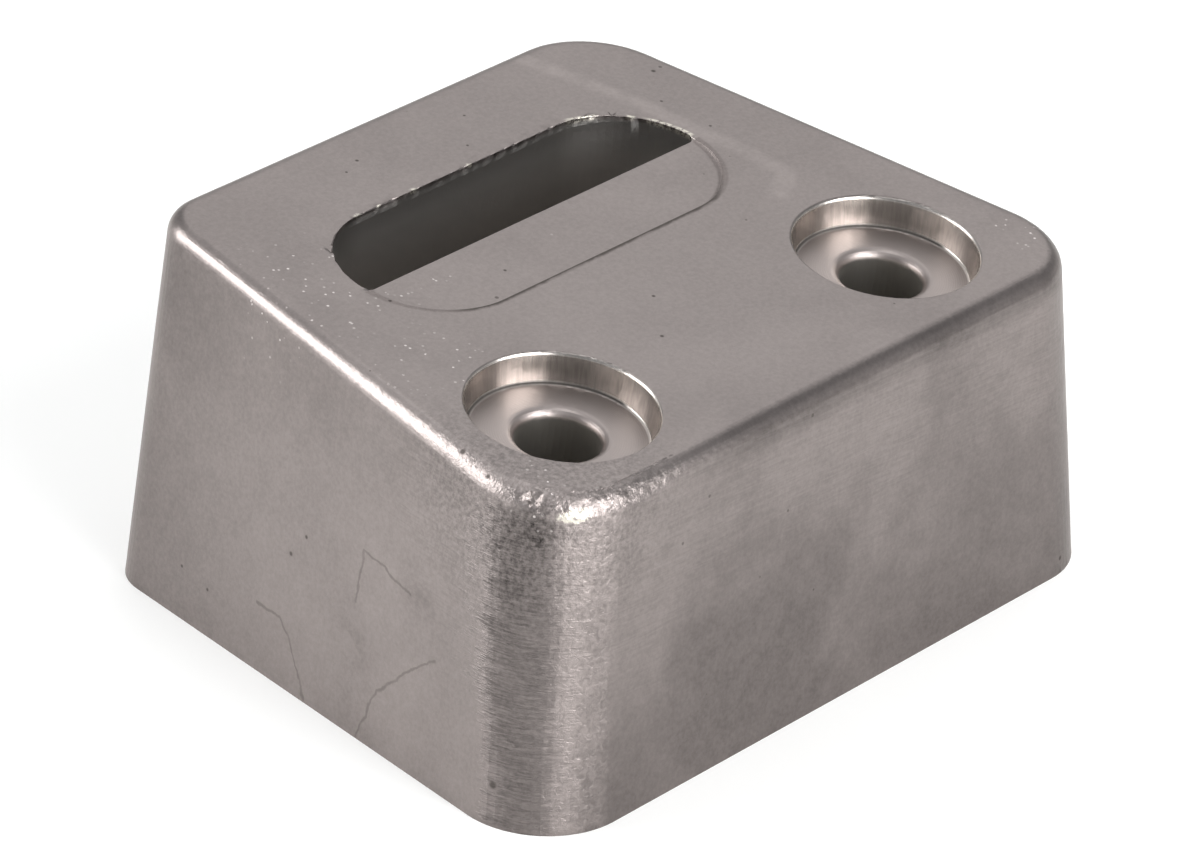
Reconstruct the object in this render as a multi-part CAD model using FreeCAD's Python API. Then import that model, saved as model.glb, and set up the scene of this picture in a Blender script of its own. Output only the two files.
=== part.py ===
import FreeCAD, Part
import math
import os

# Sacrificial anode: a one-piece zinc casting, tapered in plan and wedge-shaped from the side.
# Millimetres. The origin is the centre of the base and +Z is up. +X runs along the two bolt
# holes, which are at the low front (-Y). The slot is at the high back (+Y).

# Block
frontLength = 67.4        # front side of the base, between its sharp corners
baseDepth = 51.6          # base, from the front side to the back side
planTaperDeg = 8.6        # each end runs in by this angle towards the back
frontHeight = 26.0        # base to the sharp front top edge
topSlopeDeg = 6.0         # the top face rises towards the back by this angle
draftDeg = 4.0            # casting draft of all four sides
middleX = -1.0            # the holes and the slot lie a little towards the left end
frontCornerR = 7.0        # upright corners at the front
backRightCornerR = 7.9    # upright corner at the back, +X end
backLeftCornerR = 4.5     # upright corner at the back, -X end
topEdgeR = 1.7            # rounding all round the top face

# Bolt holes, drilled square to the sloping top face
boltPitch = 36.7          # centre to centre
boltInset = 12.1          # front side of the base to the hole centres, on the top face
boltHoleR = 3.2           # clearance for an M6 bolt
boltHoleEdgeR = 0.8       # rounding where the hole leaves the seat
seatRimR = 7.2            # bolt head seat, at its rim
seatFootR = 6.8           # bolt head seat, at its floor
seatDepth = 2.5           # bolt head seat, along the hole
seatRimEdgeR = 0.35       # rounding of the seat's rim
seatFootEdgeR = 0.3       # hollow between the seat's wall and floor

# Slot, cast upright
slotLength = 36.8         # overall
slotWidth = 14.7          # overall, and so the diameter of its round ends
slotInset = 31.9          # front side of the base to the slot's centre line
throughWidth = 7.8        # back part of the slot, which goes right through
throughCornerR = 0.7      # corners of the through part at the shelf
shelfBackDrop = 0.12      # shelf below the top face, at the through part
shelfFrontDrop = 0.45     # shelf below the top face, at the front of the slot
shelfFootR = 0.3          # hollow at the foot of the shelf's wall

overshoot = 10.0          # how far cutters stand out of the block
tolerance = 1e-4          # for finding edges by their place

topSlope = math.radians(topSlopeDeg)
planTaper = math.radians(planTaperDeg)
frontY = -baseDepth / 2
backY = baseDepth / 2
shelfY = frontY + slotInset + slotWidth / 2 - throughWidth
blankHeight = frontHeight + baseDepth * math.tan(topSlope)
topNormal = FreeCAD.Vector(0, -math.sin(topSlope), math.cos(topSlope))
upSlope = FreeCAD.Vector(0, math.cos(topSlope), math.sin(topSlope))
alongX = FreeCAD.Vector(1, 0, 0)


def topHeight(y):
    """Height of the top face above the base at y."""
    return frontHeight + (y - frontY) * math.tan(topSlope)


def onTop(x, inset):
    """Point of the top face at x, this far behind the front side of the base."""
    y = frontY + inset
    return FreeCAD.Vector(x, y, topHeight(y))


def planCorners(z):
    """Sharp plan corners of the drafted block at height z, front left first."""
    sideIn = z * math.tan(math.radians(draftDeg))
    endIn = sideIn / math.cos(planTaper)
    front = frontY + sideIn
    back = backY - sideIn

    def halfLength(y):
        return frontLength / 2 - (y - frontY) * math.tan(planTaper) - endIn

    return [
        FreeCAD.Vector(-halfLength(front), front, z),
        FreeCAD.Vector(halfLength(front), front, z),
        FreeCAD.Vector(halfLength(back), back, z),
        FreeCAD.Vector(-halfLength(back), back, z),
    ]


def flatFace(corners):
    """Flat face with straight edges."""
    return Part.Face(Part.makePolygon(corners + corners[:1]))


def makeBlank():
    """Drafted block with a level top, all corners still sharp."""
    low = planCorners(0)
    high = planCorners(blankHeight)
    sides = []
    for i in range(4):
        j = (i + 1) % 4
        sides.append(flatFace([low[i], low[j], high[j], high[i]]))
    return Part.Solid(Part.Shell([flatFace(low), flatFace(high)] + sides))


def cutTop(blank):
    """Cuts the level blank down to the sloping top face."""
    reach = frontLength + baseDepth
    start = onTop(0, 0) - alongX * (reach / 2) - upSlope * (reach / 2)
    slab = Part.makePlane(reach, reach, start, topNormal, alongX)
    return blank.cut(slab.extrude(topNormal * reach))


def uprightEdge(block, signX, signY):
    """The straight corner edge on one side of each plane through the middle."""
    for edge in block.Edges:
        low, high = edge.BoundBox.ZMin, edge.BoundBox.ZMax
        middle = edge.CenterOfMass
        tall = high - low > frontHeight / 2
        if tall and middle.x * signX > 0 and middle.y * signY > 0:
            if isinstance(edge.Curve, Part.Line) and len(edge.Vertexes) == 2:
                return edge
    raise ValueError("no corner edge there")


def roundCorners(block):
    """Rounds the four upright corners, each to its own radius."""
    corners = [(-1, -1, frontCornerR), (1, -1, frontCornerR),
               (1, 1, backRightCornerR), (-1, 1, backLeftCornerR)]
    for signX, signY, radius in corners:
        block = block.makeFillet(radius, [uprightEdge(block, signX, signY)])
    return block


def isOnTop(point):
    """True where a point lies in the top face."""
    return abs((point - onTop(0, 0)).dot(topNormal)) < tolerance


def roundTopEdge(block):
    """Rounds the whole edge of the top face."""
    rim = [edge for edge in block.Edges
           if all(isOnTop(vertex.Point) for vertex in edge.Vertexes)]
    return block.makeFillet(topEdgeR, rim)


def boltHoleCutter(x):
    """Bolt hole and its tapered head seat, square to the top face."""
    floor = onTop(x, boltInset) - topNormal * seatDepth
    seatTaper = (seatRimR - seatFootR) / seatDepth
    seatHeight = seatDepth + overshoot
    seat = Part.makeCone(seatFootR, seatFootR + seatTaper * seatHeight, seatHeight, floor, topNormal)
    hole = Part.makeCylinder(boltHoleR, 2 * blankHeight, floor, -topNormal)
    return seat.fuse(hole)


def roundCircles(block, circleR, depth, edgeR):
    """Rounds the circular edges of this radius, this deep under the top face."""
    circles = [edge for edge in block.Edges
               if isinstance(edge.Curve, Part.Circle)
               and abs(edge.Curve.Radius - circleR) < tolerance
               and isOnTop(edge.Curve.Center + topNormal * depth)]
    return block.makeFillet(edgeR, circles)


def slotPrism():
    """The whole slot outline, upright through everything."""
    centreY = frontY + slotInset
    endR = slotWidth / 2
    endX = slotLength / 2 - endR

    def point(x, y):
        return FreeCAD.Vector(middleX + x, centreY + y, -overshoot)

    outline = Part.Wire([
        Part.LineSegment(point(-endX, -endR), point(endX, -endR)).toShape(),
        Part.Arc(point(endX, -endR), point(endX + endR, 0), point(endX, endR)).toShape(),
        Part.LineSegment(point(endX, endR), point(-endX, endR)).toShape(),
        Part.Arc(point(-endX, endR), point(-endX - endR, 0), point(-endX, -endR)).toShape(),
    ])
    return Part.Face(outline).extrude(FreeCAD.Vector(0, 0, blankHeight + 2 * overshoot))


def sidewaysPrism(sectionYZ, halfLength):
    """Solid with this section seen along X."""
    corners = [FreeCAD.Vector(-halfLength, y, z) for y, z in sectionYZ]
    return flatFace(corners).extrude(alongX * (2 * halfLength))


def throughCutter():
    """Back part of the slot, right through the block."""
    high = blankHeight + 2 * overshoot
    section = [(shelfY, -2 * overshoot), (backY, -2 * overshoot), (backY, high), (shelfY, high)]
    cutter = slotPrism().common(sidewaysPrism(section, frontLength))
    corners = [edge for edge in cutter.Edges
               if edge.Length > blankHeight
               and all(abs(vertex.Y - shelfY) < tolerance for vertex in edge.Vertexes)]
    return cutter.makeFillet(throughCornerR, corners)


def shelfCutter():
    """Front part of the slot: the space over the sinking shelf."""
    slotFrontY = frontY + slotInset - slotWidth / 2
    backZ = topHeight(shelfY) - shelfBackDrop
    frontZ = topHeight(slotFrontY) - shelfFrontDrop
    rise = (backZ - frontZ) / (shelfY - slotFrontY)

    def shelfHeight(y):
        return backZ + (y - shelfY) * rise

    first = slotFrontY - overshoot
    last = shelfY + 2 * throughCornerR
    high = blankHeight + overshoot / 2
    section = [(first, shelfHeight(first)), (last, shelfHeight(last)), (last, high), (first, high)]
    cutter = slotPrism().common(sidewaysPrism(section, frontLength))
    foot = [edge for edge in cutter.Edges
            if all(abs(vertex.Z - shelfHeight(vertex.Y)) < tolerance for vertex in edge.Vertexes)
            and edge.CenterOfMass.y < last - tolerance]
    return cutter.makeFillet(shelfFootR, foot)


def makeAnode():
    """The whole casting."""
    block = roundTopEdge(roundCorners(cutTop(makeBlank())))
    cutters = [boltHoleCutter(middleX - boltPitch / 2),
               boltHoleCutter(middleX + boltPitch / 2),
               throughCutter(), shelfCutter()]
    for cutter in cutters:
        block = block.cut(cutter)
    block = roundCircles(block, seatRimR, 0, seatRimEdgeR)
    block = roundCircles(block, seatFootR, seatDepth, seatFootEdgeR)
    return roundCircles(block, boltHoleR, seatDepth, boltHoleEdgeR)


os.makedirs("parts", exist_ok=True)
anode = makeAnode()
anode.exportStep("parts/anode_block.step")
box = anode.optimalBoundingBox(False)
print("size", round(box.XLength, 2), round(box.YLength, 2), round(box.ZLength, 2))
print("volume", round(anode.Volume), "solids", len(anode.Solids), "valid", anode.isValid())
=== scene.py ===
import math
from types import SimpleNamespace

import bmesh
import bpy
from mathutils import Matrix, Vector, noise


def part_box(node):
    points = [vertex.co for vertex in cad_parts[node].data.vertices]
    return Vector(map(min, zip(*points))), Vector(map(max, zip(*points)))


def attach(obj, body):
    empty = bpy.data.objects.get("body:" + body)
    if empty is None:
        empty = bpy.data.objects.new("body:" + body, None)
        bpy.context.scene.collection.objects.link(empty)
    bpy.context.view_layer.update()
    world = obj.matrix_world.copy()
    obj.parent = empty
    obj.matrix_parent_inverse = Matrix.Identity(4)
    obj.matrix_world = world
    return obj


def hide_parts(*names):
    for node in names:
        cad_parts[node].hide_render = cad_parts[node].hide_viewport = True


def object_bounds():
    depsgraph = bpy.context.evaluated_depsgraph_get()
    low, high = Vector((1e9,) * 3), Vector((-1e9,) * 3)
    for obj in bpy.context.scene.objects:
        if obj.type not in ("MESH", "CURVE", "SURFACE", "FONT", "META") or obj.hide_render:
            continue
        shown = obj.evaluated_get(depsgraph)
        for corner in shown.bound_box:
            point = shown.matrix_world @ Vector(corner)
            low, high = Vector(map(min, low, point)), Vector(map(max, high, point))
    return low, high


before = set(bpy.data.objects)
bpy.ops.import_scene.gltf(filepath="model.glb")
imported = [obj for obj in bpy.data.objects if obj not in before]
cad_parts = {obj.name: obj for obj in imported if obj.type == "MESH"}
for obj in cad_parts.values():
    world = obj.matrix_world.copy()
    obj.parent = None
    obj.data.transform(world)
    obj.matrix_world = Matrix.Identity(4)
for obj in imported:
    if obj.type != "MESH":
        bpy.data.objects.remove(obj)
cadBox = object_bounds()
print("frame loaded")


# Small helpers for node trees. A value in "inputs" may be a socket or a plain value.

def addNode(tree, kind, inputs=None, **settings):
    node = tree.nodes.new(kind)
    for key, value in settings.items():
        setattr(node, key, value)
    for key, value in (inputs or {}).items():
        if isinstance(value, bpy.types.NodeSocket):
            tree.links.new(value, node.inputs[key])
        else:
            node.inputs[key].default_value = value
    return node


def sums(tree, operation, first, second=0.0, clamp=False):
    return addNode(tree, "ShaderNodeMath", {0: first, 1: second},
                   operation=operation, use_clamp=clamp).outputs[0]


def plus(tree, first, second, clamp=False):
    return sums(tree, "ADD", first, second, clamp)


def minus(tree, first, second):
    return sums(tree, "SUBTRACT", first, second)


def times(tree, first, second):
    return sums(tree, "MULTIPLY", first, second)


def vectors(tree, operation, first, second=(0, 0, 0), result=0):
    return addNode(tree, "ShaderNodeVectorMath", {0: first, 1: second},
                   operation=operation).outputs[result]


def ramp(tree, value, low, high, start=0.0, end=1.0):
    return addNode(tree, "ShaderNodeMapRange",
                   {"Value": value, "From Min": low, "From Max": high, "To Min": start, "To Max": end},
                   interpolation_type="SMOOTHSTEP").outputs[0]


def grain(tree, place, scale, detail=2.0, rough=0.5, warp=0.0):
    return addNode(tree, "ShaderNodeTexNoise",
                   {"Vector": place, "Scale": scale, "Detail": detail, "Roughness": rough,
                    "Distortion": warp}).outputs["Fac"]


def stretched(tree, place, stretch, turn=(0, 0, 0)):
    return addNode(tree, "ShaderNodeMapping", {"Vector": place, "Scale": stretch, "Rotation": turn},
                   vector_type="TEXTURE").outputs[0]


def blended(tree, share, under, over):
    return addNode(tree, "ShaderNodeMix", {0: share, 2: under, 3: over}, data_type="FLOAT").outputs[0]


def tint(tree, share, under, over, blend="MIX"):
    node = addNode(tree, "ShaderNodeMix", data_type="RGBA", blend_type=blend)
    for key, value in ((0, share), (6, under), (7, over)):
        if isinstance(value, bpy.types.NodeSocket):
            tree.links.new(value, node.inputs[key])
        else:
            node.inputs[key].default_value = value
    return node.outputs[2]


def grey(tree, value):
    return addNode(tree, "ShaderNodeCombineXYZ", {0: value, 1: value, 2: value}).outputs[0]


# Camera and room. Metres, same axes as the part: +Z up, bolt holes at the front (-Y).

camera = {
    "target": (0.00381, 0.00223, 0.010),
    "azimuth": 49.8,       # degrees from -Y towards -X
    "elevation": 28.63,
    "roll": 2.99,
    "distance": 0.5562,
    "lens": 217.3,         # mm, on a 36 mm sensor
}

room = {
    "floorSize": 12.0,
    "floorColour": (0.80, 0.80, 0.79, 1.0),
    "floorWhite": 0.25,                     # added for what the camera and the metal see
    "wallColour": (0.66, 0.66, 0.66, 1.0),  # all round, at floor level
    "ceilingColour": (0.40, 0.41, 0.42, 1.0),
    "ceilingHeight": 0.35,                  # sine of the angle where the ceiling starts
}

lamps = {
    # direction from the part, distance, width and height in metres, watts
    "backBox": {"towards": (-0.58, 0.70, 0.38), "far": 0.9, "size": (0.66, 0.46), "watts": 5.2},
    "frontBox": {"towards": (0.0, -0.93, 0.37), "far": 0.9, "size": (0.80, 0.38), "watts": 7.4},
    "highBox": {"towards": (0.1, -0.73, 0.68), "far": 0.9, "size": (0.36, 0.30), "watts": 1.6},
    "topPanel": {"towards": (0.67, 0.46, 0.75), "far": 1.1, "size": (1.1, 0.9), "watts": 2.3},
    "fillPanel": {"towards": (-0.08, 0.53, 0.85), "far": 1.0, "size": (0.7, 0.4), "watts": 0.45},
    "overhead": {"towards": (-0.1, -0.1, 1.0), "far": 1.2, "size": (0.45, 0.45), "watts": 1.6},
}


def placeCamera():
    az = math.radians(camera["azimuth"])
    el = math.radians(camera["elevation"])
    roll = math.radians(camera["roll"])
    back = Vector((-math.sin(az) * math.cos(el), -math.cos(az) * math.cos(el), math.sin(el)))
    level = Vector((math.cos(az), -math.sin(az), 0))
    upright = back.cross(level)
    right = level * math.cos(roll) + upright * math.sin(roll)
    up = back.cross(right)
    data = bpy.data.cameras.new("photoCamera")
    data.lens = camera["lens"]
    data.sensor_width = 36
    data.clip_start = 0.01
    data.clip_end = 20
    holder = bpy.data.objects.new("photoCamera", data)
    bpy.context.collection.objects.link(holder)
    turn = Matrix((right, up, back)).transposed().to_4x4()
    place = Vector(camera["target"]) + back * camera["distance"]
    holder.matrix_world = Matrix.Translation(place) @ turn
    bpy.context.scene.camera = holder


def placeLamps():
    for name, lamp in lamps.items():
        data = bpy.data.lights.new(name, "AREA")
        data.shape = "RECTANGLE"
        data.size, data.size_y = lamp["size"]
        data.energy = lamp["watts"]
        holder = bpy.data.objects.new(name, data)
        bpy.context.collection.objects.link(holder)
        away = Vector(lamp["towards"]).normalized()
        holder.location = away * lamp["far"]
        holder.rotation_euler = away.to_track_quat("Z", "Y").to_euler()


def makeFloor():
    cut = bmesh.new()
    bmesh.ops.create_grid(cut, x_segments=1, y_segments=1, size=room["floorSize"] / 2)
    mesh = bpy.data.meshes.new("studioFloor")
    cut.to_mesh(mesh)
    cut.free()
    floor = bpy.data.objects.new("studioFloor", mesh)
    bpy.context.collection.objects.link(floor)
    material = bpy.data.materials.new("floorPaper")
    material.use_nodes = True
    tree = material.node_tree
    shader = tree.nodes["Principled BSDF"]
    shader.inputs["Base Color"].default_value = room["floorColour"]
    shader.inputs["Roughness"].default_value = 0.9
    shader.inputs["Emission Color"].default_value = (1, 1, 1, 1)
    path = addNode(tree, "ShaderNodeLightPath")
    seen = sums(tree, "MAXIMUM", path.outputs["Is Camera Ray"], path.outputs["Is Glossy Ray"])
    seen = sums(tree, "MAXIMUM", seen, path.outputs["Is Transmission Ray"])
    tree.links.new(times(tree, seen, room["floorWhite"]), shader.inputs["Emission Strength"])
    mesh.materials.append(material)


def lightWorld():
    world = bpy.data.worlds.new("studioWorld")
    world.use_nodes = True
    bpy.context.scene.world = world
    tree = world.node_tree
    tree.nodes.clear()
    direction = addNode(tree, "ShaderNodeTexCoord").outputs["Generated"]
    height = addNode(tree, "ShaderNodeSeparateXYZ", {"Vector": direction}).outputs[2]
    share = ramp(tree, height, 0.0, room["ceilingHeight"])
    colour = tint(tree, share, room["wallColour"], room["ceilingColour"])
    shown = addNode(tree, "ShaderNodeBackground", {"Color": colour})
    out = addNode(tree, "ShaderNodeOutputWorld")
    tree.links.new(shown.outputs["Background"], out.inputs["Surface"])


bpy.context.scene.view_settings.view_transform = "Standard"
placeCamera()
placeLamps()
makeFloor()
lightWorld()
print("room ready")


# The casting. Places are in millimetres on the part.

casting = {
    "colour": (0.297, 0.262, 0.251, 1.0),
    # dark colour for pits and hairlines, and for the painted shade along the shelf's rim
    "grimeColour": (0.10, 0.088, 0.08, 1.0),
    "seatWallColour": (0.52, 0.485, 0.455, 1.0),
    "seatFloorColour": (0.39, 0.343, 0.328, 1.0),
    # painted shade in the corner at the foot of the seats' walls
    "creviceColour": (0.06, 0.054, 0.05, 1.0),
    # painted glints at the bruised corner and on the slot's far rim
    "flakeColour": (0.70, 0.66, 0.58, 1.0),
    # painted light: the bore's inside is coloured lighter, to lift its shade
    "boreColour": (0.58, 0.555, 0.52, 1.0),
    # painted glints: small bright sparkles on the top
    "sparkColour": (0.70, 0.645, 0.62, 1.0),
    # painted light: the slot's inside is coloured lighter, more so deeper down, to lift its shade
    "slotColour": (0.56, 0.535, 0.51, 1.0),
    "roughness": 0.37,
    "edgeRoughness": 0.31,
    "seatWallRoughness": 0.27,
    "seatFloorRoughness": 0.40,
    "slotRoughness": 0.40,
    "grazingTint": (0.85, 0.84, 0.83, 1.0),   # keeps the rims seen edge-on from going white
    "topSlope": 6.0,                # degrees
    "topHeight": 26.0,              # at the front side of the base
    "frontY": -25.8,
    "middleX": -1.0,
    "boltHalfPitch": 18.35,
    "boltInset": 12.1,
    "seatRadius": 7.5,
    "seatFootRadius": 6.8,
    "seatDepth": 2.5,
    "slotHalfLength": 18.4,
    "slotHalfWidth": 7.35,
    "slotCentreY": 6.1,
    "shelfBackY": 5.65,
    "boltHoleRadius": 3.2,
    "bandDirection": (0.646, -0.764),   # across the seats, from their painted bright band (a painted reflection) to the side painted duller
    "bandStart": (-5.6, -4.4),      # where the tone changes, that way from the hole's axis
    "bandEnd": (-1.9, -0.8),
    # where the seats' walls are painted lighter again, a painted highlight at the far side
    "dullEnd": (0.8, 3.4),
    "ringRate": 36.0,               # turning marks on the seats' floors, radians to a millimetre
    "ringHeight": 0.0025,
    "grimeBackY": (3.5, 0.0),       # where the painted shade on the shelf's rim fades in
    "grimeLeftX": (-17.4, -14.5),
    "grimeRightX": (15.0, 11.0),
    "filedX": (-22.0, -23.5),       # where the filed corner, with its painted dark and light strips, fades in
    "filedY": (-13.5, -15.5),
    "filedDepth": (1.2, 2.4),       # under the top face
    "pits": [                       # place and radius
        ((-32.2, -19.8, 3.3), 0.42), ((-28.45, 2.7, 13.2), 0.22), ((-28.4, 4.3, 11.1), 0.26),
        ((-26.9, 16.8, 4.3), 0.20), ((-27.5, 13.6, 3.8), 0.20), ((22.5, 14.5, 30.2), 0.26),
        ((26.7, -25.6, 1.3), 0.26), ((-29.3, -13.0, 27.0), 0.34), ((-30.0, -16.1, 26.5), 0.26),
        ((-30.1, -18.6, 24.9), 0.32), ((5.2, 18.7, 30.7), 0.16), ((2.1, 15.5, 30.3), 0.16),
        ((-6.5, 19.0, 30.7), 0.20), ((-8.4, 18.3, 30.6), 0.16), ((19.5, 11.0, 29.9), 0.18),
        ((19.8, 6.2, 29.4), 0.18), ((-2.6, -7.7, 27.9), 0.20), ((-8.6, 1.8, 28.6), 0.18),
        ((-19.1, 3.7, 29.1), 0.20), ((-6.3, -11.8, 27.5), 0.22),
    ],
    "hairReach": (0.17, 0.04),      # half width of a hairline, and of its dark core
    "flowLines": [                  # cold-flow hairlines on the left end
        [(-28.2, 7.8, 5.6), (-28.7, 4.9, 5.4), (-29.0, 3.5, 4.0), (-29.5, 1.7, 0.3)],
        [(-29.5, -3.3, 10.8), (-29.3, -4.0, 15.2), (-29.8, -6.8, 14.6), (-30.2, -9.4, 14.0)],
        [(-30.5, -4.7, 0.3), (-30.5, -6.6, 4.8), (-30.7, -9.6, 7.8), (-31.0, -12.8, 10.2)],
    ],
    "stains": [((-30.4, -10.5, 14.1), 2.6), ((-29.8, -3.2, 7.4), 3.4)],   # place and radius
    "sparks": [                     # patches of painted glints, small bright sparkles: place and radius
        ((-17.6, 5.0, 29.1), 2.0), ((-13.4, 4.0, 28.9), 1.2), ((-1.0, 3.1, 28.8), 1.3),
        ((27.4, -18.6, 26.9), 3.2), ((-21.8, 8.0, 29.5), 9.0), ((-23.0, -4.0, 28.2), 6.0),
        ((-28.0, -20.0, 26.3), 4.5),
    ],
    "burrGlints": [                 # painted glints on the slot's far rim, where its burrs are: place and radius
        ((-12.2, 13.4, 30.1), 0.55), ((-9.9, 13.4, 30.1), 0.35), ((-6.1, 13.4, 30.1), 0.60),
        ((0.2, 13.4, 30.1), 0.45), ((12.4, 13.1, 30.0), 1.7), ((15.9, 11.0, 29.8), 0.5),
        ((17.2, 8.9, 29.6), 1.7), ((17.4, 6.8, 29.4), 1.2),
    ],
    "flake": [(-28.5, -21.9, 24.95), (-27.2, -23.0, 25.05)],   # painted glint at the bruised corner, a bright patch in the colour
    "flakeRadius": 0.58,
    "bruises": [                    # dark patches at that corner: place and radius
        ((-29.6, -20.6, 24.7), 1.5), ((-29.6, -19.9, 26.1), 0.6), ((-29.2, -20.9, 23.4), 1.6),
    ],
    "gritPlace": (-28.0, -19.0, 26.5),   # the top face is coarsest round here
    "gritReach": 14.0,
    "crease": [                     # low ridge on the top face
        (15.4, 22.0), (16.6, 17.4), (17.8, 11.7), (18.5, 6.2), (19.2, 2.2), (19.3, -2.1), (16.4, -3.7),
    ],
    "creaseHeight": 0.07,
    "creaseWidth": 0.9,
    "creaseFade": 12,               # it runs out over this length at the back
    "rimWear": 0.09,                # tiny rounding of the sharp rims
    "slotWear": 0.24,               # the slot's far rim is worn more
    "slotBurr": 0.16,               # how far the burr varies along that rim
    "burrSize": 0.8,
    "burrY": (8, 11),               # it grows from the first to the second
    "gridPitch": 1.2,               # cuts that let the faces wave, and finer ones at the marks
    "finePitch": 0.32,
    # the top edge is crumpled round the bruised corner
    "crumple": {"centre": (-25.0, -23.0, 25.3), "reach": 7.5, "below": 3.5, "size": 0.65, "height": 0.13},
    "dents": [                      # place, radius and depth
        ((-29.5, -20.0, 26.1), 0.75, 0.40), ((-29.8, -20.3, 24.7), 1.20, 0.16),
        ((-28.6, -22.0, 24.6), 0.60, 0.14),
    ],
    "dentWarp": 0.35,               # how far noise bends their outline, and how coarse it is
    "dentWarpSize": 0.5,
    "dentSeed": 3,                  # without it that noise is new on every run
    "waveHeight": 0.02,             # how far the faces dip at most
    "waveScale": 0.12,
    "sharpAngle": 52.0,             # degrees, from which an edge is worn and stays sharp in shading
}


def lineDistance(tree, place, start, end):
    first = Vector(start)
    along = Vector(end) - first
    length = along.length
    along.normalize()
    offset = vectors(tree, "SUBTRACT", place, tuple(first))
    reach = vectors(tree, "DOT_PRODUCT", offset, tuple(along), 1)
    reach = sums(tree, "MINIMUM", sums(tree, "MAXIMUM", reach, 0.0), length)
    nearest = addNode(tree, "ShaderNodeVectorMath", {0: tuple(along), "Scale": reach},
                      operation="SCALE").outputs[0]
    return vectors(tree, "DISTANCE", offset, nearest, 1)


def nearestLine(tree, place, lines):
    nearest = None
    for line in lines:
        for start, end in zip(line[:-1], line[1:]):
            away = lineDistance(tree, place, start, end)
            nearest = away if nearest is None else sums(tree, "MINIMUM", nearest, away)
    return nearest


def patches(tree, place, spots, core):
    cover = None
    for centre, radius in spots:
        near = ramp(tree, vectors(tree, "DISTANCE", place, centre, 1), radius, radius * core)
        cover = near if cover is None else sums(tree, "MAXIMUM", cover, near)
    return cover


def findPlace(tree):
    look = casting
    at = SimpleNamespace()
    coordinates = addNode(tree, "ShaderNodeTexCoord")
    at.place = addNode(tree, "ShaderNodeMapping", {"Vector": coordinates.outputs["Object"],
                                                   "Scale": (1000, 1000, 1000)}).outputs[0]
    parts = addNode(tree, "ShaderNodeSeparateXYZ", {"Vector": at.place})
    at.x, at.y, at.z = parts.outputs
    facing = addNode(tree, "ShaderNodeSeparateXYZ", {"Vector": coordinates.outputs["Normal"]})
    at.faceX, at.faceY, at.faceZ = facing.outputs

    # how deep a point lies under the top face, and how far from a bolt hole's axis
    slope = math.radians(look["topSlope"])
    up = (0, -math.sin(slope), math.cos(slope))
    topPoint = (0, look["frontY"], look["topHeight"])
    height = vectors(tree, "DOT_PRODUCT", vectors(tree, "SUBTRACT", at.place, topPoint), up, 1)
    at.depth = times(tree, height, -1.0)
    at.sideways = sums(tree, "ABSOLUTE", minus(tree, at.x, look["middleX"]))
    folded = addNode(tree, "ShaderNodeCombineXYZ", {0: at.sideways, 1: at.y, 2: at.z}).outputs[0]
    at.holeY = look["frontY"] + look["boltInset"]
    hole = (look["boltHalfPitch"], at.holeY, look["topHeight"] + look["boltInset"] * math.tan(slope))
    fromHole = vectors(tree, "SUBTRACT", folded, hole)
    at.holeRadius = vectors(tree, "LENGTH", vectors(tree, "CROSS_PRODUCT", fromHole, up), result=1)
    at.fromCorner = vectors(tree, "DISTANCE", at.place, look["gritPlace"], 1)
    return at


def makeNoises(tree, place):
    tones = SimpleNamespace()
    tones.clouds = grain(tree, place, scale=0.07, detail=3.0, rough=0.55, warp=0.6)
    tones.mottle = grain(tree, place, scale=0.55, detail=4.0, rough=0.6)
    tones.speck = grain(tree, place, scale=2.6, detail=3.0, rough=0.7)
    tones.crinkle = grain(tree, place, scale=1.7, detail=4.0, rough=0.6, warp=1.2)

    # long noises: brush marks and file strokes run level, the seats' streaks run upright
    brushed = stretched(tree, place, stretch=(3.2, 3.2, 0.15), turn=(0.02, 0.05, 0))
    tones.brush = grain(tree, brushed, scale=1.0, detail=3.0, rough=0.6, warp=0.3)
    filed = stretched(tree, place, stretch=(1.6, 1.6, 0.16))
    tones.strokes = grain(tree, filed, scale=1.0, detail=3.0, rough=0.65, warp=0.8)
    turned = stretched(tree, place, stretch=(0.22, 0.22, 6.0))
    tones.streaks = grain(tree, turned, scale=1.0, detail=2.0, rough=0.6)
    return tones


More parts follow.
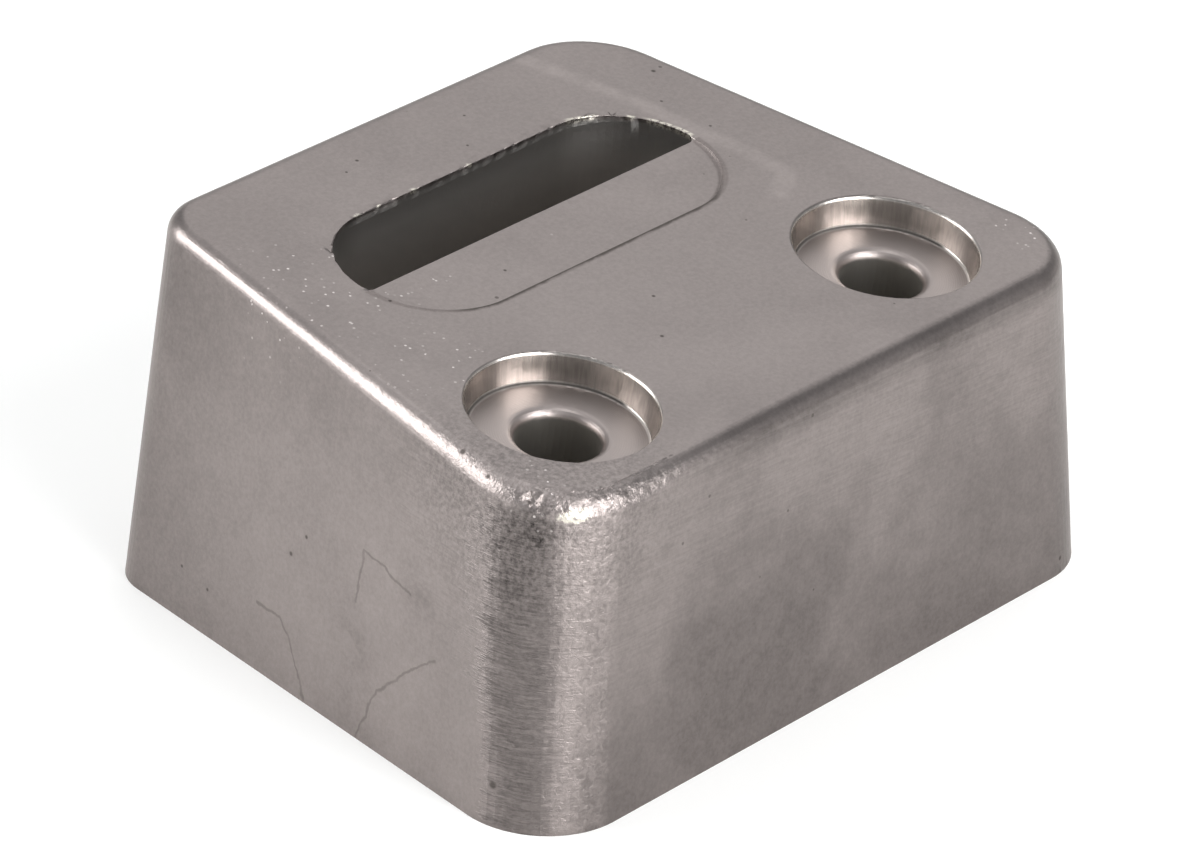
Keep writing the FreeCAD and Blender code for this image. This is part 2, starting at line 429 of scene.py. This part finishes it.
def maskSeats(tree, at):
    look = casting
    seats = SimpleNamespace()
    withinRim = ramp(tree, at.holeRadius, look["seatRadius"] + 0.15, look["seatRadius"] - 0.05)
    seats.inside = times(tree, withinRim, ramp(tree, at.depth, 0.02, 0.15))
    seats.wall = ramp(tree, at.holeRadius, look["seatFootRadius"] - 0.25, look["seatFootRadius"])
    withinBore = ramp(tree, at.holeRadius, look["boltHoleRadius"] + 0.7, look["boltHoleRadius"] + 0.2)
    underFloor = ramp(tree, at.depth, look["seatDepth"] + 0.4, look["seatDepth"] + 0.9)
    seats.bore = times(tree, withinBore, underFloor)
    # painted shade: a dark line in the corner at the foot of the seats' walls, which is also rougher
    fromFoot = addNode(tree, "ShaderNodeCombineXYZ",
                       {0: minus(tree, at.holeRadius, look["seatFootRadius"] - 0.05),
                        1: minus(tree, at.depth, look["seatDepth"] - 0.12), 2: 0.0}).outputs[0]
    footLine = ramp(tree, vectors(tree, "LENGTH", fromFoot, result=1), 0.22, 0.0)
    seats.footLine = times(tree, footLine, ramp(tree, at.y, at.holeY - 1.1, at.holeY + 0.3))

    # painted reflection on the seats' walls: a bright band painted on the left, painted duller beside it,
    # and lighter again at the far side
    side = sums(tree, "SIGN", minus(tree, at.x, look["middleX"]))
    fromAxis = times(tree, minus(tree, at.sideways, look["boltHalfPitch"]), side)
    alongX, alongY = look["bandDirection"]
    across = plus(tree, times(tree, minus(tree, at.y, at.holeY), alongY), times(tree, fromAxis, alongX))
    bandTone = times(tree, ramp(tree, across, *look["bandStart"], 0.78, 1.20),
                     ramp(tree, across, *look["bandEnd"], 1.0, 0.66))
    seats.bandTone = times(tree, bandTone, ramp(tree, across, *look["dullEnd"], 1.0, 1.40))
    return seats


def maskSlot(tree, at, tones):
    look = casting
    slot = SimpleNamespace()
    straight = look["slotHalfLength"] - look["slotHalfWidth"]
    endReach = sums(tree, "MAXIMUM", minus(tree, at.sideways, straight), 0.0)
    acrossSlot = minus(tree, at.y, look["slotCentreY"])
    slotPlan = addNode(tree, "ShaderNodeCombineXYZ", {0: endReach, 1: acrossSlot, 2: 0.0}).outputs[0]
    fromSlot = minus(tree, vectors(tree, "LENGTH", slotPlan, result=1), look["slotHalfWidth"])
    slot.through = ramp(tree, at.y, look["shelfBackY"] - 0.1, look["shelfBackY"] + 0.05)
    slot.inside = times(tree, ramp(tree, fromSlot, 0.2, 0.05), slot.through)
    slot.inside = times(tree, slot.inside, ramp(tree, at.depth, 0.15, 0.55))

    # painted shade along the shelf's rim, fading towards both round ends
    shelf = minus(tree, 1.0, slot.through)
    slot.fromRim = sums(tree, "ABSOLUTE", plus(tree, fromSlot, 0.02))
    slot.shelfRim = times(tree, ramp(tree, slot.fromRim, 0.50, 0.25), shelf)
    reach = ramp(tree, tones.mottle, 0.35, 0.65, 0.26, 0.50)
    rimLine = times(tree, ramp(tree, sums(tree, "DIVIDE", slot.fromRim, reach), 1.0, 0.3), shelf)
    rimLine = times(tree, rimLine, ramp(tree, at.y, *look["grimeBackY"], 0.15, 1.0))
    rimLine = times(tree, rimLine, ramp(tree, at.depth, 1.2, 0.8))
    rimLine = times(tree, rimLine, ramp(tree, at.x, *look["grimeLeftX"], 0.15, 1.0))
    slot.rimLine = times(tree, rimLine, ramp(tree, at.x, *look["grimeRightX"], 0.1, 1.0))
    return slot


def maskFaces(tree, at, tones, seats):
    look = casting
    faces = SimpleNamespace()
    faces.left = ramp(tree, at.faceX, -0.75, -0.97)
    faces.front = ramp(tree, at.faceY, -0.75, -0.97)
    faces.top = ramp(tree, at.faceZ, 0.90, 0.98)
    coarse = ramp(tree, at.fromCorner, look["gritReach"], look["gritReach"] * 0.25)
    faces.coarse = times(tree, coarse, minus(tree, 1.0, seats.inside))
    faces.edge = times(tree, ramp(tree, at.faceZ, 0.985, 0.90), ramp(tree, at.faceZ, 0.12, 0.25))
    # grit on the top edges near the bruised corner; the same mask carries a painted highlight
    faces.edgeGrit = times(tree, faces.edge, ramp(tree, at.fromCorner, 30.0, 8.0))

    # the front left corner has file marks and crinkles in its bumps, a painted dark strip (painted
    # shade), then a crinkled strip painted lighter (painted highlight)
    corner = times(tree, ramp(tree, at.x, *look["filedX"]), ramp(tree, at.y, *look["filedY"]))
    corner = times(tree, corner, ramp(tree, at.depth, *look["filedDepth"]))
    turn = plus(tree, at.faceY, ramp(tree, tones.mottle, 0.25, 0.75, -0.06, 0.06))
    turn = plus(tree, turn, ramp(tree, tones.strokes, 0.3, 0.7, -0.10, 0.10))
    filed = minus(tree, ramp(tree, at.z, 14.0, 2.0, 0.16, 0.0), turn)
    filed = times(tree, ramp(tree, filed, 0.0, 0.36), ramp(tree, turn, -0.86, -0.56))
    faces.filed = times(tree, filed, corner)
    crinkled = times(tree, ramp(tree, turn, -0.62, -0.84), ramp(tree, at.faceX, -0.02, -0.24))
    faces.crinkled = times(tree, crinkled, corner)
    return faces


def maskMarks(tree, at, tones, faces, seats, slot):
    look = casting
    marks = SimpleNamespace()
    marks.stain = times(tree, patches(tree, at.place, look["stains"], 0.2),
                        ramp(tree, tones.mottle, 0.40, 0.60))
    marks.bruise = times(tree, patches(tree, at.place, look["bruises"], 0.3),
                         ramp(tree, tones.crinkle, 0.35, 0.65, 0.12, 0.36))
    # painted glint: a bright patch at the bruised corner
    flake = lineDistance(tree, at.place, *look["flake"])
    flake = plus(tree, flake, ramp(tree, tones.crinkle, 0.3, 0.7, -0.30, 0.30))
    marks.flake = ramp(tree, flake, look["flakeRadius"], look["flakeRadius"] * 0.35)
    # painted glints on the slot's far rim
    glint = times(tree, ramp(tree, slot.fromRim, 0.42, 0.28), slot.through)
    glint = times(tree, patches(tree, at.place, look["burrGlints"], 0.4), glint)
    marks.glint = times(tree, glint, ramp(tree, tones.speck, 0.40, 0.52))

    # painted highlight: the crease is painted as a soft light band
    flatPlace = addNode(tree, "ShaderNodeCombineXYZ", {0: at.x, 1: at.y, 2: 0.0}).outputs[0]
    crease = [(x, y, 0) for x, y in look["crease"]]
    marks.ridge = times(tree, ramp(tree, nearestLine(tree, flatPlace, [crease]), 1.3, 0.2), faces.top)

    # flow hairlines, their way along the left end bent a little by noise
    wobble = addNode(tree, "ShaderNodeTexNoise", {"Vector": at.place, "Scale": 0.6, "Detail": 3.0})
    wobble = vectors(tree, "SUBTRACT", wobble.outputs["Color"], (0.5, 0.5, 0.5))
    wobble = vectors(tree, "MULTIPLY", wobble, (0, 1, 1))
    hair = nearestLine(tree, vectors(tree, "ADD", at.place, wobble), look["flowLines"])
    marks.crack = times(tree, ramp(tree, hair, *look["hairReach"]),
                        ramp(tree, tones.mottle, 0.32, 0.52, 0.6, 1.0))

    # pits: those that the list names, and pinholes here and there
    cells = addNode(tree, "ShaderNodeTexVoronoi", {"Vector": at.place, "Scale": 0.34}, feature="F1")
    chosen = addNode(tree, "ShaderNodeSeparateXYZ", {"Vector": cells.outputs["Color"]})
    holeSize = ramp(tree, chosen.outputs[1], 0.0, 1.0, 0.03, 0.07)
    pinholes = ramp(tree, minus(tree, cells.outputs["Distance"], holeSize), 0.0, -0.03)
    pinholes = times(tree, pinholes, ramp(tree, chosen.outputs[0], 0.62, 0.80))
    pits = patches(tree, at.place, look["pits"], 0.35)
    marks.pit = sums(tree, "MAXIMUM", pits, times(tree, pinholes, 0.75))

    # painted glints: small bright sparkles, a little smoother too, in a few patches of the top
    grains = addNode(tree, "ShaderNodeTexVoronoi", {"Vector": at.place, "Scale": 3.0}, feature="F1")
    picked = addNode(tree, "ShaderNodeSeparateXYZ", {"Vector": grains.outputs["Color"]}).outputs[0]
    spark = times(tree, ramp(tree, grains.outputs["Distance"], 0.42, 0.2), ramp(tree, picked, 0.90, 0.97))
    spark = times(tree, spark, patches(tree, at.place, look["sparks"], 0.3))
    marks.spark = times(tree, spark, minus(tree, 1.0, seats.inside))
    return marks


def shadeOf(tree, at, tones, faces, marks):
    # slow clouds, fine mottle and specks; painted shade over the front, deepest towards its base, and
    # over the left end, deeper towards its top and darker towards its far side
    shade = plus(tree, ramp(tree, tones.clouds, 0.3, 0.7, -0.06, 0.06),
                 ramp(tree, tones.mottle, 0.3, 0.7, -0.04, 0.04))
    speckDepth = plus(tree, times(tree, faces.coarse, 0.20), 0.07)
    speckTone = ramp(tree, tones.speck, 0.25, 0.75, -1.0, 1.0)
    shade = plus(tree, shade, times(tree, speckTone, speckDepth))
    # painted shade on the front face, deeper towards its base
    unevenHeight = plus(tree, at.z, ramp(tree, tones.clouds, 0.2, 0.8, -6.0, 6.0))
    lowFront = ramp(tree, unevenHeight, 24.0, 3.0, 0.17, 0.36)
    shade = minus(tree, shade, times(tree, faces.front, lowFront))
    # painted shade on the left end, deeper towards its top, and darker towards its far side
    unevenY = plus(tree, at.y, ramp(tree, tones.clouds, 0.2, 0.8, -4.0, 4.0))
    farLeft = plus(tree, ramp(tree, unevenY, 4.0, 22.0, 0.08, 0.24),
                   ramp(tree, at.z, 14.0, 27.0, 0.0, 0.10))
    shade = minus(tree, shade, times(tree, faces.left, farLeft))

    # brush marks high on the front and near the corner on the left end, and the filed corner's painted
    # shade and painted highlight strips
    brushed = sums(tree, "MAXIMUM", times(tree, faces.front, ramp(tree, unevenHeight, 8.0, 20.0)),
                   times(tree, faces.left, ramp(tree, at.fromCorner, 20.0, 10.0)))
    shade = plus(tree, shade, times(tree, brushed, ramp(tree, tones.brush, 0.3, 0.7, -0.05, 0.05)))
    # painted shade and painted highlight at the filed corner
    fileTone = ramp(tree, tones.strokes, 0.3, 0.7, 0.46, 0.22)
    shade = minus(tree, shade, times(tree, faces.filed, fileTone))
    crinkleTone = ramp(tree, tones.crinkle, 0.3, 0.7, -0.06, 0.20)
    shade = plus(tree, shade, times(tree, faces.crinkled, crinkleTone))
    # painted highlight: the left side's top edges near the bruised corner are painted lighter
    wornEdge = times(tree, faces.edgeGrit, ramp(tree, at.faceY, -0.45, -0.15))
    shade = plus(tree, shade, times(tree, wornEdge, 0.30))

    # painted shade: the front's top edge is painted darker, away from the worn corner
    frontEdge = times(tree, ramp(tree, at.faceZ, 0.99, 0.92), ramp(tree, at.faceY, -0.06, -0.30))
    frontEdge = times(tree, frontEdge, ramp(tree, at.depth, 2.8, 1.2))
    frontEdge = times(tree, frontEdge, ramp(tree, at.x, -20.0, -8.0))
    shade = minus(tree, shade, times(tree, frontEdge, 0.24))

    shade = minus(tree, shade, times(tree, marks.stain, 0.16))
    shade = minus(tree, shade, marks.bruise)
    # painted highlight along the crease
    ridgeTone = ramp(tree, tones.mottle, 0.3, 0.7, 0.08, 0.20)
    shade = plus(tree, shade, times(tree, marks.ridge, ridgeTone))
    return plus(tree, shade, 1.0)


def colourOf(tree, at, tones, faces, seats, slot, marks):
    look = casting
    grime = look["grimeColour"]
    shade = grey(tree, shadeOf(tree, at, tones, faces, marks))
    colour = tint(tree, 1.0, look["colour"], shade, "MULTIPLY")
    colour = tint(tree, times(tree, marks.crack, 0.46), colour, grime)
    colour = tint(tree, times(tree, marks.pit, 0.80), colour, grime)
    # painted glints: sparkles
    colour = tint(tree, marks.spark, colour, look["sparkColour"])
    # painted glints at the bruised corner and on the slot's far rim
    colour = tint(tree, sums(tree, "MAXIMUM", marks.flake, marks.glint), colour, look["flakeColour"])
    # the seats' walls: their streaks, under a painted reflection band
    wallTone = times(tree, ramp(tree, tones.streaks, 0.3, 0.7, 0.86, 1.10), seats.bandTone)
    wall = tint(tree, 1.0, look["seatWallColour"], grey(tree, wallTone), "MULTIPLY")
    colour = tint(tree, seats.inside, colour, tint(tree, seats.wall, look["seatFloorColour"], wall))
    # painted light: the slot's inside is coloured lighter the deeper it lies
    slotTone = grey(tree, ramp(tree, at.depth, 0.0, 6.5, 0.44, 1.20))
    slotWall = tint(tree, 1.0, look["slotColour"], slotTone, "MULTIPLY")
    colour = tint(tree, slot.inside, colour, slotWall)
    # painted light in the bore
    colour = tint(tree, seats.bore, colour, look["boreColour"])
    # painted shade along the shelf's rim
    colour = tint(tree, times(tree, slot.rimLine, 0.85), colour, grime)
    # painted shade in the corner at the foot of the seats' walls
    return tint(tree, seats.footLine, colour, look["creviceColour"])


def roughnessOf(tree, tones, faces, seats, slot, marks):
    look = casting
    roughness = plus(tree, ramp(tree, tones.mottle, 0.3, 0.7, -0.05, 0.05), look["roughness"])
    roughness = blended(tree, faces.edge, roughness, look["edgeRoughness"])
    turned = blended(tree, seats.wall, look["seatFloorRoughness"], look["seatWallRoughness"])
    roughness = blended(tree, seats.inside, roughness, turned)
    roughness = blended(tree, slot.inside, roughness, look["slotRoughness"])
    roughness = plus(tree, roughness, times(tree, seats.footLine, 0.5))
    roughness = plus(tree, roughness, times(tree, slot.shelfRim, 0.35))
    roughness = minus(tree, roughness, times(tree, marks.spark, 0.2))
    return plus(tree, roughness, times(tree, marks.pit, 0.3), clamp=True)


def reliefOf(tree, at, tones, faces, seats):
    # heights in millimetres
    reliefDepth = plus(tree, times(tree, faces.coarse, 0.07), 0.024)
    reliefDepth = plus(tree, reliefDepth, times(tree, faces.edgeGrit, 0.018))
    fineGrain = grain(tree, at.place, scale=2.2, detail=4.0, rough=0.65)
    relief = times(tree, fineGrain, reliefDepth)
    relief = plus(tree, relief, times(tree, times(tree, faces.filed, tones.strokes), 0.05))
    crinkles = times(tree, plus(tree, faces.crinkled, faces.filed), tones.crinkle)
    relief = plus(tree, relief, times(tree, crinkles, 0.06))
    rings = sums(tree, "SINE", times(tree, at.holeRadius, casting["ringRate"]))
    rings = times(tree, rings, casting["ringHeight"])
    rings = plus(tree, rings, times(tree, relief, 0.5))
    rings = times(tree, rings, minus(tree, 1.0, seats.wall))
    return blended(tree, seats.inside, relief, rings)


def zincMaterial():
    material = bpy.data.materials.new("castZinc")
    material.use_nodes = True
    tree = material.node_tree
    shader = tree.nodes["Principled BSDF"]
    shader.inputs["Metallic"].default_value = 1.0
    shader.inputs["Specular Tint"].default_value = casting["grazingTint"]

    at = findPlace(tree)
    tones = makeNoises(tree, at.place)
    seats = maskSeats(tree, at)
    slot = maskSlot(tree, at, tones)
    faces = maskFaces(tree, at, tones, seats)
    marks = maskMarks(tree, at, tones, faces, seats, slot)
    colour = colourOf(tree, at, tones, faces, seats, slot, marks)
    tree.links.new(colour, shader.inputs["Base Color"])
    roughness = roughnessOf(tree, tones, faces, seats, slot, marks)
    tree.links.new(roughness, shader.inputs["Roughness"])
    relief = reliefOf(tree, at, tones, faces, seats)
    bump = addNode(tree, "ShaderNodeBump", {"Height": relief, "Distance": 0.001, "Strength": 1.0})
    tree.links.new(bump.outputs[0], shader.inputs["Normal"])
    return material


def topHeightAt(y):
    return casting["topHeight"] + (y - casting["frontY"]) * math.tan(math.radians(casting["topSlope"]))


def creaseRise(x, y):
    points = [Vector(point) for point in casting["crease"]]
    here = Vector((x, y))
    nearest = math.inf
    for start, end in zip(points[:-1], points[1:]):
        along = end - start
        share = max(0.0, min(1.0, (here - start).dot(along) / along.length_squared))
        nearest = min(nearest, (here - start - along * share).length)
    return casting["creaseHeight"] * math.exp(-(nearest / casting["creaseWidth"]) ** 2)


def dentDepth(place):
    place = place + noise.noise_vector(place / casting["dentWarpSize"]) * casting["dentWarp"]
    depth = 0.0
    for centre, radius, most in casting["dents"]:
        share = 1 - ((place - Vector(centre)).length / radius) ** 2
        depth = max(depth, most * max(0.0, share))
    return depth


def crumpleDepth(vert):
    rough = casting["crumple"]
    centre = Vector(rough["centre"]) / 1000
    share = 1 - (vert.co - centre).length / (rough["reach"] / 1000)
    # only on the rounded edge, not on the faces beside it
    onRim = min(1.0, (vert.normal.z - 0.12) / 0.25, (0.985 - vert.normal.z) / 0.05)
    if share <= 0 or onRim <= 0:
        return 0.0
    place = vert.co * 1000
    lump = noise.fractal(place / rough["size"], 1.0, 2.0, 2)
    depth = rough["height"] * min(1.0, 2.5 * share) * (0.5 + 0.5 * lump)
    return (depth + dentDepth(place)) * onRim


def nearSlotRim(place, reach):
    x, y, z = place
    if y < casting["shelfBackY"] or abs(z - topHeightAt(y)) > reach:
        return False
    fromMiddle = abs(x - casting["middleX"])
    endReach = max(0.0, fromMiddle - casting["slotHalfLength"] + casting["slotHalfWidth"])
    radius = math.hypot(endReach, y - casting["slotCentreY"])
    return abs(radius - casting["slotHalfWidth"]) < reach


def onSlotRim(place):
    return nearSlotRim(place, 0.03)


def inCrumple(place):
    rough = casting["crumple"]
    away = (place / 1000 - Vector(rough["centre"]) / 1000).length
    return away < rough["reach"] / 1000 and place.z > rough["centre"][2] - rough["below"]


def unitAlong(axis):
    normal = Vector((0, 0, 0))
    normal[axis] = 1
    return normal


def wearEdges(block, edges, offset):
    bmesh.ops.bevel(block, geom=edges, offset=offset / 1000, offset_type="OFFSET", affect="EDGES",
                    segments=2, profile=0.5, material=-1, clamp_overlap=True)


def wearRims(block, limit):
    sharp = [edge for edge in block.edges if edge.is_convex and edge.calc_face_angle(0) > limit]
    farRim = [edge for edge in sharp if all(onSlotRim(vert.co * 1000) for vert in edge.verts)]
    others = [edge for edge in sharp if edge not in farRim]
    wearEdges(block, others, casting["rimWear"])
    farRim = [edge for edge in farRim if edge.is_valid]
    wearEdges(block, farRim, casting["slotWear"])
    print("rims worn:", len(others), "and", len(farRim), "edges")


def cutGrid(block):
    pitch = casting["gridPitch"] / 1000
    low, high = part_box("anode_block")
    for axis in range(3):
        steps = int((high[axis] - low[axis]) / pitch)
        for i in range(1, steps + 1):
            cut = Vector((0, 0, 0))
            cut[axis] = low[axis] + i * pitch - pitch / 2
            bmesh.ops.bisect_plane(block, geom=block.verts[:] + block.edges[:] + block.faces[:],
                                   dist=1e-7, plane_co=cut, plane_no=unitAlong(axis))
    print("casting gridded:", len(block.faces), "faces")


def refine(block, wanted):
    fine = casting["finePitch"] / 1000
    for axis in range(3):
        normal = unitAlong(axis)
        near = [face for face in block.faces if wanted(face.calc_center_median() * 1000)]
        places = [vert.co[axis] for face in near for vert in face.verts]
        geom = set(near)
        for face in near:
            geom.update(face.verts)
            geom.update(face.edges)
        geom = list(geom)
        for i in range(int(min(places) / fine), int(max(places) / fine) + 1):
            geom = bmesh.ops.bisect_plane(block, geom=geom, dist=1e-7, plane_co=normal * (i * fine),
                                          plane_no=normal)["geom"]


def riseAt(vert):
    place = vert.co * 1000
    x, y, z = place
    if z < 0.01:
        return 0
    wave = noise.fractal(place * casting["waveScale"], 1.0, 2.0, 2)
    rise = -casting["waveHeight"] * (0.5 + 0.5 * wave)
    if abs(z - topHeightAt(y)) < 0.01:
        backY = cadBox[1][1] * 1000
        rise += creaseRise(x, y) * min(1.0, (backY - y) / casting["creaseFade"])
    rise -= crumpleDepth(vert)
    if nearSlotRim(place, 0.4):
        burr = noise.fractal(place / casting["burrSize"], 1.0, 2.0, 3)
        start, full = casting["burrY"]
        share = min(1.0, max(0.0, (y - start) / (full - start)))
        rise -= casting["slotBurr"] * max(0.0, 0.3 + burr) * share
    return rise


def unevenSurface(block):
    block.normal_update()
    moves = [(vert, vert.normal * riseAt(vert) / 1000) for vert in block.verts]
    for vert, move in moves:
        vert.co += move


def shadeSmooth(block, limit):
    block.normal_update()
    for edge in block.edges:
        edge.smooth = edge.calc_face_angle(0) < limit
    for face in block.faces:
        face.smooth = True
        face.material_index = 0


def makeCasting():
    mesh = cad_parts["anode_block"].data.copy()
    mesh.name = "anodeCasting"
    block = bmesh.new()
    block.from_mesh(mesh)
    bmesh.ops.remove_doubles(block, verts=block.verts, dist=1e-6)
    bmesh.ops.dissolve_limit(block, angle_limit=math.radians(0.05), verts=block.verts, edges=block.edges)
    print("casting merged:", len(block.faces), "faces")

    limit = math.radians(casting["sharpAngle"])
    wearRims(block, limit)
    cutGrid(block)
    refine(block, inCrumple)
    refine(block, lambda place: nearSlotRim(place, 0.7))
    print("corner and slot rim refined:", len(block.faces), "faces")
    noise.seed_set(casting["dentSeed"])
    unevenSurface(block)
    shadeSmooth(block, limit)
    block.to_mesh(mesh)
    block.free()

    mesh.materials.clear()
    mesh.materials.append(zincMaterial())
    piece = bpy.data.objects.new("anodeCasting", mesh)
    bpy.context.collection.objects.link(piece)
    weights = piece.modifiers.new("evenShading", "WEIGHTED_NORMAL")
    weights.keep_sharp = True
    weights.weight = 90
    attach(piece, "root")
    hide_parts("anode_block")


makeCasting()
print("casting finished")
